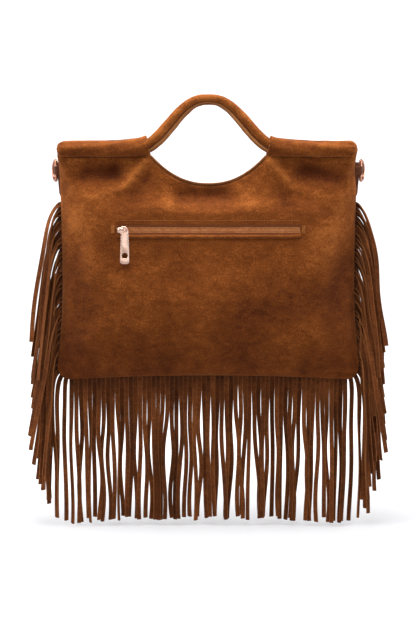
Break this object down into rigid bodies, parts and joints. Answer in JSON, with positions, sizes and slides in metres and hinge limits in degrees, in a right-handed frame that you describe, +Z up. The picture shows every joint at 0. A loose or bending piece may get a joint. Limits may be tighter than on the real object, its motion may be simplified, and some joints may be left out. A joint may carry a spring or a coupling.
{
  "type": "fringed suede handbag",
  "caption": "Soft suede handbag with cut-out carrying handles, a zip pocket on one face, side strap rings and a long cut fringe along its side and bottom seams.",
  "frame": {"origin": "hang point: midway between the two handles, level with the underside of their tops", "axes": "+Z up, away from the fringe tips; +X to the right when the zip pocket is looked at; +Y from the zip pocket face to the plain face"},
  "size_m": [0.3958, 0.0593, 0.4696],
  "materials": {
    "suede": "brushed suede nap, mottled cognac brown",
    "tab_leather": "smooth dark brown leather",
    "lining": "plain woven lining",
    "zip_tape": "woven tape",
    "zip_coil": "nylon coil",
    "thread": "golden brown sewing thread",
    "handle_rod": "bent rod",
    "rose_gold": "polished pink gold plating",
    "snap_steel": "plated"
  },
  "bodies": {
    "bag": {"back_panel": "suede", "front_panel": "suede", "back_lining": "lining", "front_lining": "lining", "back_handle_rod": "handle_rod", "front_handle_rod": "handle_rod", "back_handle_cover": "suede", "front_handle_cover": "suede", "upper_zip_tape": "zip_tape", "lower_zip_tape": "zip_tape", "upper_zip_coil": "zip_coil", "lower_zip_coil": "zip_coil", "pocket_welt": "suede", "pocket_bag": "lining", "left_bar_tack": "thread", "right_bar_tack": "thread", "left_fringe": "suede", "bottom_fringe": "suede", "right_fringe": "suede", "left_ring_tab": "tab_leather", "right_ring_tab": "tab_leather", "snap_stud": "snap_steel", "snap_socket": "snap_steel"},
    "zip_slider": {"zip_slider": "rose_gold"},
    "zip_puller": {"zip_puller": "rose_gold"},
    "left_ring": {"left_strap_ring": "rose_gold"},
    "right_ring": {"right_strap_ring": "rose_gold"}
  },
  "joints": [
    {"name": "zip_slide", "type": "slide", "parent": "bag", "child": "zip_slider", "axis": [1, 0, 0], "range_m": [0, 0.185]},
    {"name": "puller_swing", "type": "hinge", "parent": "zip_slider", "child": "zip_puller", "pos_m": [-0.09, -0.0281, -0.1372], "axis": [0, -1, 0], "range_deg": [-25, 90]},
    {"name": "left_ring_turn", "type": "hinge", "parent": "bag", "child": "left_ring", "pos_m": [-0.1659, 0, -0.073], "axis": [0, 0, 1], "range_deg": [-8, 150]},
    {"name": "right_ring_turn", "type": "hinge", "parent": "bag", "child": "right_ring", "pos_m": [0.1659, 0, -0.073], "axis": [0, 0, -1], "range_deg": [-8, 150]}
  ]
}
